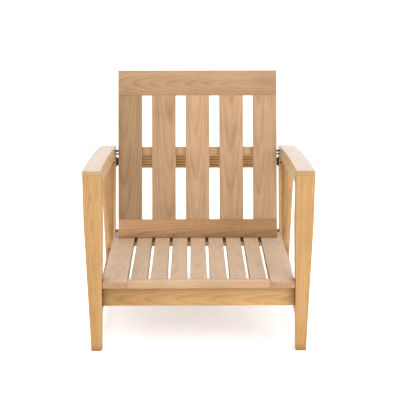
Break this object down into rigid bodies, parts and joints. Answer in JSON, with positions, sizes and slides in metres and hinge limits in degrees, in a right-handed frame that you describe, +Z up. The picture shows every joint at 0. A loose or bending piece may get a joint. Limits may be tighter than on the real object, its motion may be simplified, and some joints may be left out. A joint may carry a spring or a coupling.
{
  "type": "reclining lounge armchair",
  "caption": "Low teak lounge armchair frame with tapered legs, sloping flat arms, a slatted seat and a wide-slatted back that tilts on a hinge.",
  "frame": {"origin": "on the floor, under the middle of the chair's width and depth", "axes": "+Z up, the front of the chair faces -Y, +X towards the sitter's left hand (the right of the chair seen from the front)"},
  "size_m": [0.7286, 0.78, 0.789],
  "materials": {
    "frame_teak": "unoiled sanded teak, honey coloured",
    "panel_teak": "unoiled sanded teak, a little pinker and greyer than the frame",
    "black_steel": "black coated steel"
  },
  "bodies": {
    "base": {"front_leg_left": "frame_teak", "front_leg_right": "frame_teak", "rear_leg_left": "frame_teak", "rear_leg_right": "frame_teak", "arm_left": "frame_teak", "arm_right": "frame_teak", "front_apron": "frame_teak", "rear_apron": "frame_teak", "side_stretcher_left": "frame_teak", "side_stretcher_right": "frame_teak", "seat_runner_left": "frame_teak", "seat_runner_right": "frame_teak", "rear_cross_rail": "frame_teak", "seat_stile_left": "panel_teak", "seat_stile_right": "panel_teak", "seat_front_rail": "panel_teak", "seat_rear_rail": "panel_teak", "seat_slat_1": "panel_teak", "seat_slat_2": "panel_teak", "seat_slat_3": "panel_teak", "seat_slat_4": "panel_teak", "seat_slat_5": "panel_teak", "seat_slat_6": "panel_teak", "seat_slat_7": "panel_teak", "upper_barrel_nut_left": "black_steel", "upper_barrel_nut_right": "black_steel", "lower_barrel_nut_left": "black_steel", "lower_barrel_nut_right": "black_steel", "seat_hinge_leaf_left": "black_steel", "seat_hinge_leaf_right": "black_steel", "hinge_pin_left": "black_steel", "hinge_pin_right": "black_steel", "clamp_bolt_left": "black_steel", "clamp_bolt_right": "black_steel", "angle_plate_left": "black_steel", "angle_plate_right": "black_steel", "plate_bolt_left": "black_steel", "plate_bolt_right": "black_steel"},
    "back": {"back_bottom_rail": "panel_teak", "back_top_rail": "panel_teak", "back_stile_left": "panel_teak", "back_slat_1": "panel_teak", "back_slat_2": "panel_teak", "back_slat_3": "panel_teak", "back_stile_right": "panel_teak", "back_bar": "frame_teak", "bar_pin_left": "black_steel", "bar_pin_right": "black_steel", "back_hinge_leaf_left": "black_steel", "back_hinge_leaf_right": "black_steel", "slotted_stay_left": "black_steel", "slotted_stay_right": "black_steel"}
  },
  "joints": [
    {"name": "back_recline", "type": "hinge", "parent": "base", "child": "back", "pos_m": [0, 0.19129, 0.20782], "axis": [-1, 0, 0], "range_deg": [0, 8]}
  ]
}
